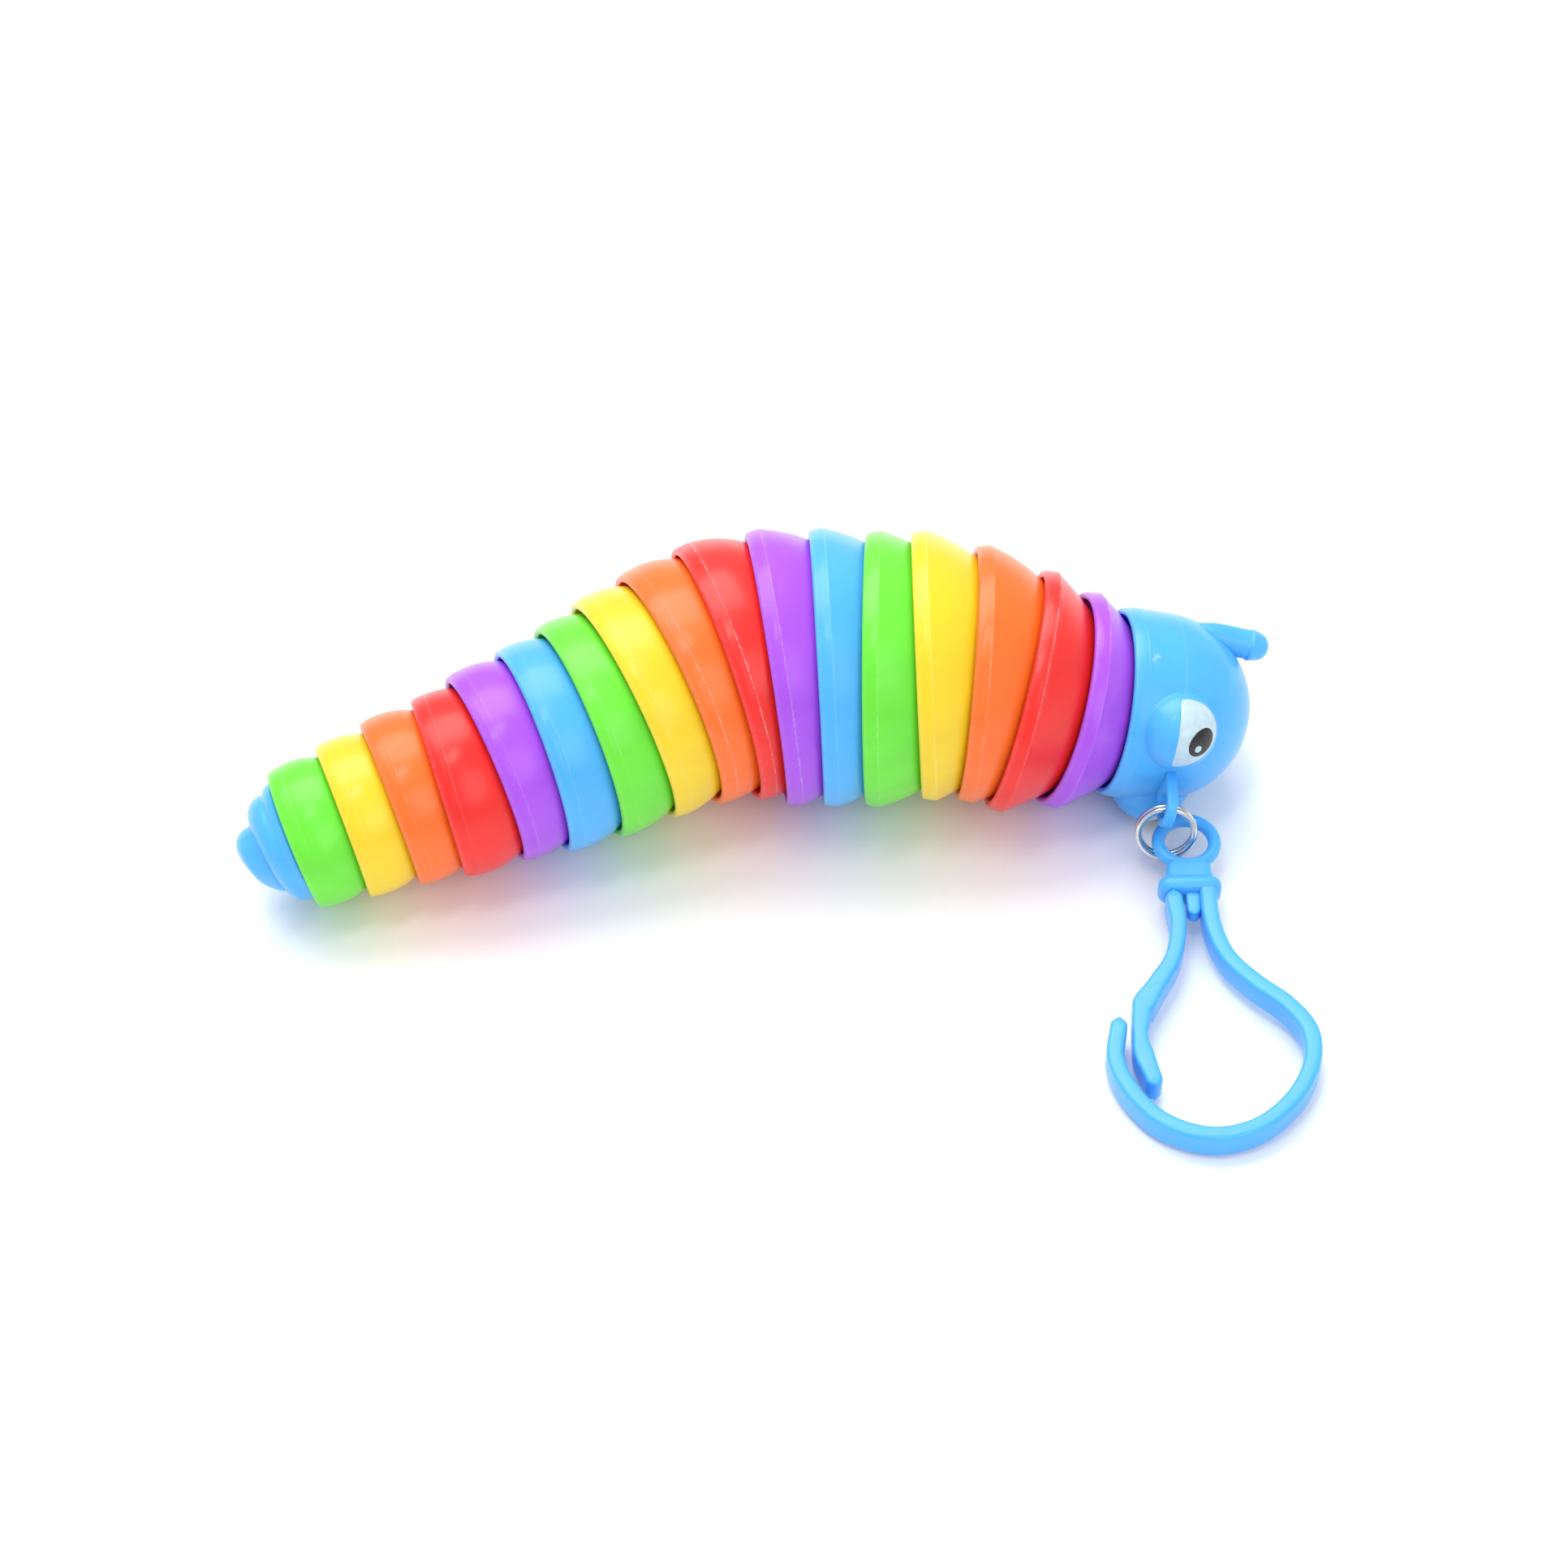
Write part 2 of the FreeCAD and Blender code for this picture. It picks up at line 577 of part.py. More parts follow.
def assemble():
    """Place every piece, then move the whole so it stands on the table about its middle."""
    chain, ring, hook, gate = make_pieces()
    places = chain_places()
    ring_place, hook_place = hang_places(places[-1])
    pieces = chain + [ring, hook, gate]
    places = places + [ring_place, hook_place, hook_place]
    for piece, place in zip(pieces, places):
        piece.Placement = place
    doc.recompute()
    low = Vector(*(min(getattr(piece.Shape.optimalBoundingBox(), side) for piece in pieces)
                   for side in ("XMin", "YMin", "ZMin")))
    high = Vector(*(max(getattr(piece.Shape.optimalBoundingBox(), side) for piece in pieces)
                    for side in ("XMax", "YMax", "ZMax")))
    shift = Vector(-(low.x + high.x) / 2, -(low.y + high.y) / 2, -low.z)
    for piece, place in zip(pieces, places):
        piece.Placement = Placement(place.Base + shift, place.Rotation)
    doc.recompute()
    return pieces


def write_files(pieces):
    """Check that every object is sound, then write one STEP file for each piece."""
    for item in doc.Objects:
        if "Invalid" in item.State or "Error" in item.State:
            raise RuntimeError("%s: %s" % (item.Label, item.State))
    for piece in pieces:
        if piece.Shape.isNull() or not piece.Shape.isValid() or len(piece.Shape.Solids) != 1:
            raise RuntimeError("%s is not one sound solid" % piece.Label)
        piece.Shape.exportStep("parts/%s.step" % piece.Label)


PIECES = assemble()
write_files(PIECES)
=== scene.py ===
import json
import math

import bpy
import numpy as np
from mathutils import Matrix, Vector


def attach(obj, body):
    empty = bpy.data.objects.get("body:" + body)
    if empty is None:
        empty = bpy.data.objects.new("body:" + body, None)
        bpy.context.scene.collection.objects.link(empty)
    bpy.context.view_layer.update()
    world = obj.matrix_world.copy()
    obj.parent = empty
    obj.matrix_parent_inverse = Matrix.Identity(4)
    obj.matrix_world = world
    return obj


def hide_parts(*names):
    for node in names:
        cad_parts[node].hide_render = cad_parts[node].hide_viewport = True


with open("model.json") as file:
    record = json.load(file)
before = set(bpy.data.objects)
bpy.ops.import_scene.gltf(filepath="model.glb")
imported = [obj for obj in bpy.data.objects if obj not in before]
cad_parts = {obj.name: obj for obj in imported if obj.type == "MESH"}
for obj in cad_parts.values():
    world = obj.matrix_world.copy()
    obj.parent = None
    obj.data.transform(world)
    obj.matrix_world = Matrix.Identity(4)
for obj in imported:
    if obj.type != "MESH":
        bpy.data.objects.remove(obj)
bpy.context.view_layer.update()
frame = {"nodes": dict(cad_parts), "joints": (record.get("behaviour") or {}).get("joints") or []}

MM = 0.001
TAU = 2 * math.pi
RINGS = 17
HEAD = RINGS + 1
TURN = 288        # steps round a turned piece

# Sizes in millimetres and degrees, as in the CAD model. The rows run from the tail to the head.
RIM = (7.3, 8.1, 8.9, 9.6, 10.3, 11.1, 11.9, 12.6, 13.3, 14.0,
       14.9, 15.5, 15.5, 15.3, 15.0, 14.3, 13.7, 12.2, 10.6)
SWING = (12, 12, 12, 12, 13, 13, 13, 13, 13, 13, 13, 13, 12, 12, 11, 12, 11, 11)
YAW = (16, 17, 19.5, 19.5, 16, 24, 22, 24, 26, 25.5, 19.5, 8, 2.5, -2, 0.5, -2, -7, -1, 2.5)
RISE = (16, 13.5, 9, 9.5, 8.5, 8, 5.5, 6.5, 9.5, 8, 7, 4.5, 2, 2, 3, -4, -12, -16, -12)
ROLL = -9.0                              # how far the head is rolled over
PITCH = 5.65                             # from one mouth to the next
BALL, FIT, WALL, STEM = 1.5, 0.08, 0.7, 0.75
TAIL_SOCKET = 2.2
MOUTH = 1.0                              # from the ball's middle to the mouth of its socket
MOUTH_WIDE = 1.9                         # radius of the funnel where it meets that mouth
FUNNEL = (4.7, 3.9)                      # the funnel's top: along from the ball's middle, and its radius
FUNNEL_WALL = 0.75
END_WIDE, END_THICK = 1.4, 1.0           # the flat wall round the hole in a narrow end
LIP = 0.8                                # thickness of the rounded lip
LEDGE = 0.35                             # room between a lip and the wall that it sweeps over
CUP_WALL = 0.945
PARTING, SWELL = 1.7, 0.2                # where the parting line runs, and how far it stands over the rim

PLASTICS = {
    "green": (0.150, 0.740, 0.040),
    "yellow": (0.900, 0.620, 0.018),
    "orange": (0.980, 0.165, 0.018),
    "red": (0.850, 0.020, 0.014),
    "purple": (0.400, 0.080, 0.760),
    "blue": (0.075, 0.430, 0.920),
    "clip_blue": (0.075, 0.430, 0.940),
}


# ---------------------------------------------------------------- materials

class Graph:
    """Small helper that adds and joins shader nodes."""

    def __init__(self, name):
        self.material = bpy.data.materials.new(name)
        self.material.use_nodes = True
        self.nodes = self.material.node_tree.nodes
        self.links = self.material.node_tree.links
        self.shader = self.nodes["Principled BSDF"]

    def add(self, kind, **values):
        node = self.nodes.new(kind)
        for key, value in values.items():
            if hasattr(node, key):
                setattr(node, key, value)
            else:
                node.inputs[key.replace("_", " ")].default_value = value
        return node

    def join(self, out, into):
        self.links.new(out, into)

    def noise(self, scale, detail=3.0, stretch=None):
        """Noise over the piece's own coordinates, in steps per metre."""
        place = self.add("ShaderNodeTexCoord")
        node = self.add("ShaderNodeTexNoise", Scale=scale, Detail=detail)
        if stretch is None:
            self.join(place.outputs["Object"], node.inputs["Vector"])
        else:
            scaled = self.add("ShaderNodeMapping")
            scaled.inputs["Scale"].default_value = stretch
            self.join(place.outputs["Object"], scaled.inputs["Vector"])
            self.join(scaled.outputs["Vector"], node.inputs["Vector"])
        return node.outputs["Fac"]

    def scaled(self, value, low, high, to_low, to_high):
        node = self.add("ShaderNodeMapRange")
        for key, number in (("From Min", low), ("From Max", high), ("To Min", to_low), ("To Max", to_high)):
            node.inputs[key].default_value = number
        self.join(value, node.inputs["Value"])
        return node.outputs["Result"]

    def mixed(self, factor, first, second):
        node = self.add("ShaderNodeMix", data_type="RGBA")
        self.join(factor, node.inputs["Factor"])
        for value, socket in ((first, node.inputs[6]), (second, node.inputs[7])):
            if isinstance(value, tuple):
                socket.default_value = (*value, 1.0)
            else:
                self.join(value, socket)
        return node.outputs[2]

    def bump(self, height, strength, distance):
        node = self.add("ShaderNodeBump", Strength=strength, Distance=distance)
        self.join(height, node.inputs["Height"])
        return node


PLASTIC_LOOK = {
    "Subsurface Weight": 0.22,
    "Subsurface Scale": 0.0016,
    "IOR": 1.50,
    "Specular IOR Level": 0.32,
    "Coat Weight": 0.22,
    "Coat Roughness": 0.20,
}


def plastic(name, colour, gloss=0.33):
    """Injection-moulded glossy plastic: faint flow marks, orange peel, fine scuffs and pale flash."""
    graph = Graph(name)
    shader = graph.shader
    deep = tuple(channel * 0.93 for channel in colour)
    pale = tuple(0.35 * channel + 0.62 for channel in colour)
    flow = graph.noise(130.0, 4.0, (1.0, 1.0, 2.6))
    body = graph.mixed(graph.scaled(flow, 0.32, 0.68, 0.0, 1.0), deep, colour)
    edge = graph.add("ShaderNodeAttribute", attribute_name="edge")
    chips = graph.noise(2600.0, 2.0)
    broken = graph.add("ShaderNodeMath", operation="MULTIPLY")
    graph.join(edge.outputs["Fac"], broken.inputs[0])
    graph.join(graph.scaled(chips, 0.38, 0.60, 0.20, 0.75), broken.inputs[1])
    graph.join(graph.mixed(broken.outputs[0], body, pale), shader.inputs["Base Color"])
    scuff = graph.noise(520.0, 4.0)
    graph.join(graph.scaled(scuff, 0.35, 0.75, gloss - 0.02, gloss + 0.05), shader.inputs["Roughness"])
    peel = graph.bump(graph.noise(220.0, 1.0), 0.025, 0.00010)
    fine = graph.bump(graph.noise(3000.0, 1.0), 0.012, 0.00001)
    graph.join(peel.outputs["Normal"], fine.inputs["Normal"])
    graph.join(fine.outputs["Normal"], shader.inputs["Normal"])
    shader.inputs["Subsurface Radius"].default_value = tuple(0.25 + channel for channel in colour)
    for key, value in PLASTIC_LOOK.items():
        shader.inputs[key].default_value = value
    return graph.material


def nickel(name):
    """Bright nickel-plated wire with fine lengthwise drawing marks and small dull spots."""
    graph = Graph(name)
    shader = graph.shader
    tone = graph.noise(420.0, 5.0)
    graph.join(graph.mixed(graph.scaled(tone, 0.35, 0.7, 0.0, 1.0), (0.80, 0.78, 0.74), (0.62, 0.59, 0.55)),
               shader.inputs["Base Color"])
    graph.join(graph.scaled(graph.noise(1500.0, 4.0), 0.35, 0.75, 0.10, 0.30), shader.inputs["Roughness"])
    marks = graph.bump(graph.noise(3000.0, 3.0, (1.0, 9.0, 1.0)), 0.12, 0.00003)
    graph.join(marks.outputs["Normal"], shader.inputs["Normal"])
    shader.inputs["Metallic"].default_value = 1.0
    return graph.material


def print_ink(name, colour, gloss):
    """Pad-printed ink: slightly uneven coat with tiny pinholes."""
    graph = Graph(name)
    shader = graph.shader
    dull = tuple(channel * 0.90 for channel in colour)
    graph.join(graph.mixed(graph.scaled(graph.noise(1400.0, 5.0), 0.35, 0.65, 0.0, 1.0), dull, colour),
               shader.inputs["Base Color"])
    wear = graph.noise(2500.0, 3.0)
    graph.join(graph.scaled(wear, 0.3, 0.7, gloss, gloss + 0.12), shader.inputs["Roughness"])
    ink = graph.bump(graph.noise(3800.0, 3.0), 0.10, 0.00004)
    graph.join(ink.outputs["Normal"], shader.inputs["Normal"])
    return graph.material


MATERIALS = {key: plastic("plastic_" + key, value) for key, value in PLASTICS.items()}
MATERIALS["nickel"] = nickel("nickel")
# The white ink is a bluish grey, darker than the real white print: painted shade on the printed eye whites
# and glints.
MATERIALS["white_ink_painted_shade"] = print_ink("white_ink_painted_shade", (0.50, 0.65, 0.73), 0.32)
MATERIALS["black_ink"] = print_ink("black_ink", (0.012, 0.011, 0.012), 0.22)


# ---------------------------------------------------------------- outlines

def arc(first, via, last, steps):
    """Points from first to last on the circle through via, both ends included."""
    (ax, ay), (bx, by), (cx, cy) = first, via, last
    a, b, c = ax * ax + ay * ay, bx * bx + by * by, cx * cx + cy * cy
    d = 2 * (ax * (by - cy) + bx * (cy - ay) + cx * (ay - by))
    ux = (a * (by - cy) + b * (cy - ay) + c * (ay - by)) / d
    uy = (a * (cx - bx) + b * (ax - cx) + c * (bx - ax)) / d
    radius = math.hypot(ax - ux, ay - uy)
    start = math.atan2(ay - uy, ax - ux)
    middle = (math.atan2(by - uy, bx - ux) - start) % TAU
    stop = (math.atan2(cy - uy, cx - ux) - start) % TAU
    if middle > stop:
        stop -= TAU
    turns = [start + stop * k / steps for k in range(steps + 1)]
    return [(ux + radius * math.cos(t), uy + radius * math.sin(t)) for t in turns]


def rounded(before, corner, after, size, steps=4):
    """A corner replaced by a small smooth curve."""
    corner = np.array(corner)
    one = np.array(before) - corner
    two = np.array(after) - corner
    one = corner + one / np.linalg.norm(one) * size
    two = corner + two / np.linalg.norm(two) * size
    points = []
    for k in range(steps + 1):
        t = k / steps
        points.append(tuple((1 - t) ** 2 * one + 2 * t * (1 - t) * corner + t * t * two))
    return points


def split(first, last, steps):
    """Points along a straight line, without its ends."""
    (ax, ay), (bx, by) = first, last
    return [(ax + (bx - ax) * k / steps, ay + (by - ay) * k / steps) for k in range(1, steps)]


def smooth(p0, p1, p2, p3, t):
    """The place at part t of the way from p1 to p2, on a curve that runs through all four."""
    slope, bend = 2 * p0 - 5 * p1 + 4 * p2 - p3, 3 * p1 - p0 - 3 * p2 + p3
    return 0.5 * (2 * p1 + (p2 - p0) * t + slope * t * t + bend * t ** 3)


def closed_curve(points, steps):
    """A smooth closed curve through a few points."""
    points = np.array(points, float)
    count = len(points)
    curve = []
    for index in range(count):
        corners = [points[(index + k) % count] for k in (-1, 0, 1, 2)]
        curve += [smooth(*corners, step / steps) for step in range(steps)]
    return np.array(curve)


def spline(points, widths, steps):
    """Places and widths along a smooth open curve through the given points."""
    points = np.array(points, float)
    ends = np.vstack([2 * points[0] - points[1], points, 2 * points[-1] - points[-2]])
    places, sizes = [], []
    for index in range(len(points) - 1):
        for step in range(steps):
            t = step / steps
            places.append(smooth(*ends[index:index + 4], t))
            sizes.append(widths[index] + (widths[index + 1] - widths[index]) * (3 * t * t - 2 * t ** 3))
    places.append(points[-1])
    sizes.append(widths[-1])
    return np.array(places), np.array(sizes)


def oval(centre, radii, tilt, steps):
    """Points round a tilted ellipse."""
    turn = math.radians(tilt)
    one = np.array((math.cos(turn), math.sin(turn))) * radii[0]
    two = np.array((-math.sin(turn), math.cos(turn))) * radii[1]
    angles = [TAU * k / steps for k in range(steps)]
    return np.array([np.array(centre) + one * math.cos(a) + two * math.sin(a) for a in angles])


def socket_x(index):
    """Where the middle of a piece's socket lies, along from its mouth: further back in the wider cups."""
    if index == 0:
        return TAIL_SOCKET
    return round(max(-3.0, 1.0 - 0.022 * index ** 2), 3)


def narrow_end(index):
    """Where a cup's narrow end comes, and the inside radius of the lip that sweeps over it."""
    reach = PITCH - socket_x(index)
    lip = RIM[index + 1] - LIP
    turn = math.radians(SWING[index])
    end_x = socket_x(index) + reach * math.cos(turn) + lip * math.sin(turn)
    end_r = lip * math.cos(turn) - reach * math.sin(turn) - 0.25
    return end_x, end_r, lip


def socket_line(index):
    """From the hole in the narrow end down the funnel to the middle of the socket's floor."""
    here = socket_x(index)
    end_x, end_r, _ = narrow_end(index)
    bore = BALL + FIT
    hole = (end_x, end_r - END_WIDE)
    knee = (here + FUNNEL[0], FUNNEL[1])
    start = (here + MOUTH, MOUTH_WIDE)
    mouth = (here + MOUTH, math.sqrt(bore ** 2 - MOUTH ** 2))
    points = rounded((end_x, end_r), hole, knee, 0.3)
    points += split(hole, knee, 4)[1:]
    points += rounded(hole, knee, start, 0.5)
    points += rounded(knee, start, mouth, 0.12, 2)
    points += arc(mouth, (here - 0.6 * bore, 0.8 * bore), (here - bore, 0.0), 8)
    return points


def ball_end(ball_x):
    """From the tip of the ball to where it meets its stem."""
    neck = (ball_x + math.sqrt(BALL ** 2 - STEM ** 2), STEM)
    return arc((ball_x - BALL, 0.0), (ball_x, BALL), neck, 10)


def socket_back(index):
    """From the stem over the outside of the socket to its shoulder."""
    here = socket_x(index)
    outer = BALL + FIT + WALL
    root = (here - math.sqrt(outer ** 2 - STEM ** 2), STEM)
    shoulder = (here + 0.3, math.sqrt(outer ** 2 - 0.3 ** 2))
    return arc(root, (here - 0.6 * outer, 0.8 * outer), shoulder, 8)


# ---------------------------------------------------------------- places

def axes(index):
    """How a piece of the chain is turned."""
    yaw = Matrix.Rotation(math.radians(YAW[index]), 3, "Z")
    return yaw @ Matrix.Rotation(math.radians(-RISE[index]), 3, "Y")


def joint_place(name):
    """Where a joint of the frame is, in millimetres."""
    return Vector(next(joint["pos_m"] for joint in frame["joints"] if joint["name"] == name)) / MM


def piece_places():
    """Places of the chain's pieces, from the bend between the last ring and the head."""
    bases = [Vector((0, 0, 0))]
    for index in range(1, HEAD + 1):
        socket = bases[-1] + axes(index - 1) @ Vector((socket_x(index - 1), 0, 0))
        bases.append(socket + axes(index) @ Vector((PITCH - socket_x(index - 1), 0, 0)))
    last = bases[HEAD - 1] + axes(HEAD - 1) @ Vector((socket_x(HEAD - 1), 0, 0))
    shift = joint_place("bend_17") - last
    places = []
    for index, base in enumerate(bases):
        place = axes(index).to_4x4()
        place.translation = base + shift
        places.append(place)
    return places


PLACES = piece_places()


# ---------------------------------------------------------------- meshes

def add_object(name, vertices, faces, material, place, body, edge=None, sharp=38):
    """Make a mesh from points in millimetres of the piece's own frame, and hang it on its body."""
    mesh = bpy.data.meshes.new(name)
    matrix = np.array(place)
    points = (np.asarray(vertices, float) @ matrix[:3, :3].T + matrix[:3, 3]) * MM
    mesh.from_pydata(points.tolist(), [], faces)
    if edge is not None:
        layer = mesh.attributes.new("edge", "FLOAT", "POINT")
        layer.data.foreach_set("value", np.asarray(edge, np.float32))
    mesh.validate()
    mesh.shade_smooth()
    mesh.set_sharp_from_angle(angle=math.radians(sharp))
    mesh.materials.append(MATERIALS[material])
    item = bpy.data.objects.new(name, mesh)
    bpy.context.scene.collection.objects.link(item)
    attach(item, body)
    return item


def grid_faces(rows, columns, close=False):
    """Quads of a grid whose rows close on themselves. If asked, the last row meets the first too."""
    faces = []
    for row in range(rows if close else rows - 1):
        here, there = row * columns, (row + 1) % rows * columns
        for column in range(columns):
            following = (column + 1) % columns
            faces.append((here + column, here + following, there + following, there + column))
    return faces


def end_caps(rows, columns):
    """The two flat faces that close the first and the last row of a grid."""
    return [tuple(range(columns))[::-1], tuple(range((rows - 1) * columns, rows * columns))]


def flipped(faces):
    """The same faces, looking the other way."""
    return [face[::-1] for face in faces]


def turned(points, steps, shape=None):
    """Turn an open outline whose two ends lie on the axis. Shape may move the points and mark edges."""
    outline = np.array(points[1:-1])
    angle = np.arange(steps) * TAU / steps
    x = np.repeat(outline[:, :1], steps, axis=1)
    r = np.repeat(outline[:, 1:2], steps, axis=1)
    edge = np.zeros_like(x)
    if shape is not None:
        x, r, edge = shape(x, r, angle)
    grid = np.stack([x, r * np.cos(angle), r * np.sin(angle)], axis=-1).reshape(-1, 3)
    first, last = grid[:steps].mean(0), grid[-steps:].mean(0)
    first[0], last[0] = points[0][0], points[-1][0]
    rows = len(outline)
    faces = flipped(grid_faces(rows, steps))
    top, bottom, low = rows * steps, rows * steps + 1, (rows - 1) * steps
    for column in range(steps):
        following = (column + 1) % steps
        faces.append((column, following, top))
        faces.append((low + following, low + column, bottom))
    return np.vstack([grid, first, last]), faces, np.append(edge.reshape(-1), (0.0, 0.0))


def wave(angle, seed, orders, fall):
    """A smooth closed wave round a piece, of size about one."""
    dice = np.random.default_rng(seed)
    total = np.zeros_like(angle)
    for order in orders:
        total += np.cos(order * angle + dice.uniform(0, TAU)) * dice.uniform(0.4, 1.0) / order ** fall
    return total / max(1e-6, np.abs(total).max())


def grain(angle, seed, share):
    """Sharp little peaks at random places round a piece."""
    dice = np.random.default_rng(seed)
    peaks = (dice.random(angle.shape) < share) * dice.uniform(0.4, 1.0, angle.shape)
    return np.maximum.reduce([peaks, 0.55 * np.roll(peaks, 1), 0.35 * np.roll(peaks, -1)])


# How strongly the flash stands out on each piece, tail first.
FLASH = (0.3, 0.35, 0.4, 0.45, 0.5, 0.6, 0.6, 0.55, 0.7, 0.9, 1.0, 0.8, 0.75, 0.6, 0.7, 0.6, 0.7, 0.8, 0.3)
FLASH_WIDTH, FLASH_HEIGHT, FLASH_DRIFT = 0.07, 0.10, 0.05
WANDER, RIPPLE = 0.022, 0.03             # how far a moulded wall strays from round, and along its axis


def raggedness(index, angle):
    """Height of the flash round a piece, torn in places."""
    ragged = 0.45 + 0.35 * wave(angle, 40 + index, range(9, 40), 0.3) + 0.9 * grain(angle, 70 + index, 0.05)
    broken = np.clip(0.55 + 0.75 * wave(angle, 130 + index, range(1, 6), 0.3), 0.12, 1.0)
    return np.clip(ragged, 0.05, 1.4) * FLASH[index] * broken


def flash_shape(index, sunk):
    """Raise a thin ragged line of flash at the parting, and let the wall wander a little as mouldings do."""

    def shape(x, r, angle):
        ragged = raggedness(index, angle)
        near = np.exp(-((x - PARTING) / FLASH_WIDTH) ** 2) * (r > RIM[index] - 0.4)
        r = r + near * FLASH_HEIGHT * ragged
        x = x + near * FLASH_DRIFT * wave(angle, 90 + index, range(3, 20), 0.4)
        wander = wave(angle, 10 + index, range(2, 9), 0.8)
        ripple = wave(angle, 20 + index, range(3, 14), 0.6)
        outside = (r > sunk) * (x > 0.6)
        r = r + outside * (WANDER * wander + RIPPLE * ripple * np.sin((x - 1.0) * 0.9))
        edge = near * np.clip(0.10 + ragged, 0, 1) * FLASH[index]
        rim = np.exp(-((x - 0.25) / 0.22) ** 2) * (r > RIM[index] - 0.35)
        return x, r, np.maximum(edge, rim * 0.10)

    return shape


def lip_line(rim):
    """From the inside of the lip round its nose to the parting line, with the flash's own narrow steps."""
    nose = LIP / 2
    points = arc((nose, rim - LIP), (0.0, rim - nose), (nose, rim), 8)
    points += arc((nose, rim), (1.05, rim + 0.15), (1.55, rim + 0.19), 5)[1:]
    points += [(PARTING + step * 0.05, rim + SWELL) for step in range(-2, 3)]
    return points


def ring_line(index):
    """Outline of one ring: ball, stem, socket, inside, lip, dome, narrow end, funnel and socket floor."""
    rim = RIM[index]
    end_x, end_r, lip = narrow_end(index)
    step = lip - LEDGE
    inside_mid = (PITCH - 1.0, step + 0.33 * (rim + SWELL - step) - CUP_WALL)
    wall_high = (end_x - END_THICK, end_r - 0.45)
    wall_low = (end_x - END_THICK, end_r - END_WIDE + 0.5)
    knee = (socket_x(index) + FUNNEL[0], FUNNEL[1] + FUNNEL_WALL)
    points = ball_end(socket_x(index - 1) - PITCH) + socket_back(index)
    shoulder = points[-1]
    points += split(shoulder, knee, 3) + rounded(shoulder, knee, wall_low, 0.4)
    points += rounded(knee, wall_low, wall_high, 0.15, 2)
    points += arc(wall_high, inside_mid, (LIP / 2, rim - LIP), 10)[:-1]
    points += lip_line(rim)
    dome = arc((PARTING, rim + SWELL), (PITCH, step), (end_x, end_r), 20)
    points += [point for point in dome if PARTING + 0.16 < point[0] < end_x - 0.3]
    points += rounded(dome[-2], (end_x, end_r), (end_x, end_r - END_WIDE), 0.28)
    return points + socket_line(index)


def make_ring(index):
    node = next(name for name in frame["nodes"] if name.startswith("ring_%02d_" % index))
    colour = node.split("_")[-1]
    sunk = narrow_end(index)[1] - 1.0
    vertices, faces, edge = turned(ring_line(index), TURN, flash_shape(index, sunk))
    item = add_object("shell_%02d" % index, vertices, faces, colour, PLACES[index], node, edge)
    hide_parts(node)


# ---------------------------------------------------------------- tail

TAIL_LINE = ((-0.6, 0.0), (-0.45, 1.4), (0.2, 2.6), (1.3, 3.6),
             (2.2, 4.7), (3.2, 5.7), (4.4, 6.5), (5.65, 6.95))
TAIL_STEPS = 14
COIL_PITCH = 2.75                        # how far a coil advances in one turn
COIL_BASE = 0.80                         # how deep the foot of a one-millimetre coil lies in the outline
DIMPLE, DIMPLE_DEPTH = (-0.9, -0.5), 0.45


def tail_line():
    """Outline of the tail: its outside, the flat wall of its front, and the socket."""
    end_x, end_r, lip = narrow_end(0)
    places, _ = spline(TAIL_LINE, (1.0,) * len(TAIL_LINE), TAIL_STEPS)
    outer = [tuple(place) for place in places]
    outer += rounded((PITCH, lip - LEDGE), (end_x, end_r), (end_x, end_r - END_WIDE), 0.28)
    return outer + socket_line(0)


def swirl(x, r, angle):
    """Coils of piped cream: round coils that meet in one helical crease and end in a curl at the tip."""
    outside = np.arange(x.shape[0])[:, None] < TAIL_STEPS * (len(TAIL_LINE) - 1)
    free = np.clip((5.2 - x) / 1.3, 0, 1) * np.clip(r / 1.5, 0, 1) * outside
    part = (x + 2.1) / COIL_PITCH - (angle + 1.6) / TAU
    coil = (np.sin(math.pi * part) ** 2 + 0.012) ** 0.42
    r = r + free * (coil - COIL_BASE)
    aside = (r * np.cos(angle) - DIMPLE[0]) ** 2 + (r * np.sin(angle) - DIMPLE[1]) ** 2
    dimple = np.exp(-aside / 0.22) * outside * (x < 0.6)
    x = x + DIMPLE_DEPTH * dimple - 0.22 * free * np.sin(TAU * part)
    return x, np.maximum(r, 0.02), np.zeros_like(x)


def make_tail():
    vertices, faces, edge = turned(tail_line(), TURN, swirl)
    item = add_object("swirl_tail", vertices, faces, "blue", PLACES[0], "tail_blue", edge)
    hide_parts("tail_blue")


# ---------------------------------------------------------------- head

NOSE_X = 16.0                            # from the head's mouth to its nose
CHEEK = (6.5, 10.6)                      # where the head's dome starts
HEAD_WALL = 1.17
POST = 2.55                              # radius of the post where it meets the dome
DOME_STEPS, NECK_STEPS = 70, 34
HEAD_TURN = int(TURN * 1.4) // 2 * 2     # steps round the head, finer than a ring's
SLANT = math.sqrt(0.5)                   # sine and cosine of 45 degrees
EYE_X, EYE_RADIUS, EYE_SPREAD = 5.85, 4.5, 40.0
EYE_REACH = {1: 8.95, -1: 8.62}          # the low bulge stands on the table, so it stays a little flatter
OUTSIDE_ROWS = DOME_STEPS + NECK_STEPS + 14    # the outline's points on the outside of the head
SCUFF_X, SCUFF_BEARING = 2.3, 76


